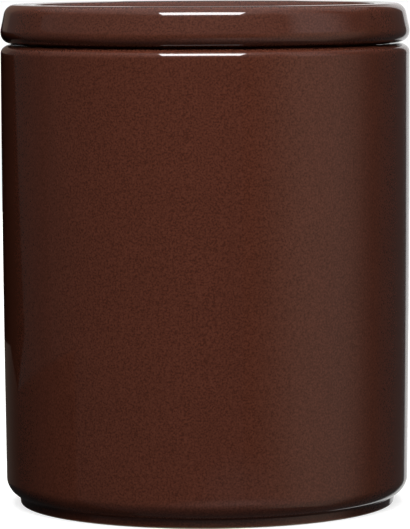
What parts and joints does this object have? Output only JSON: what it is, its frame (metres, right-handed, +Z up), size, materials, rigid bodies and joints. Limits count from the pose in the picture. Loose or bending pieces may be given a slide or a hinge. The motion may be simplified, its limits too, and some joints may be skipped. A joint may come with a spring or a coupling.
{
  "type": "storage jar",
  "caption": "Round glazed stoneware storage jar on a foot ring, with a flat dished lid whose plug carries a finned silicone seal and lifts off.",
  "frame": {"origin": "centre of the foot ring's standing face, on the floor", "axes": "+Z up along the jar's axis; the jar is round, so X and Y are free"},
  "size_m": [0.12, 0.12, 0.1472],
  "materials": {
    "jar_glaze": "dark brown gloss glaze on stoneware",
    "lid_glaze": "dark brown gloss glaze on stoneware",
    "silicone": "satin, milky silicone"
  },
  "bodies": {
    "jar": {"jar_body": "jar_glaze"},
    "seal": {"seal_ring": "silicone"},
    "lid": {"lid": "lid_glaze"}
  },
  "joints": [
    {"name": "lid_lift", "type": "slide", "parent": "jar", "child": "seal", "axis": [0, 0, 1], "range_m": [0, 0.1]},
    {"name": "lid_turn", "type": "hinge", "parent": "seal", "child": "lid", "pos_m": [0, 0, 0.1357], "axis": [0, 0, 1], "continuous": true}
  ]
}
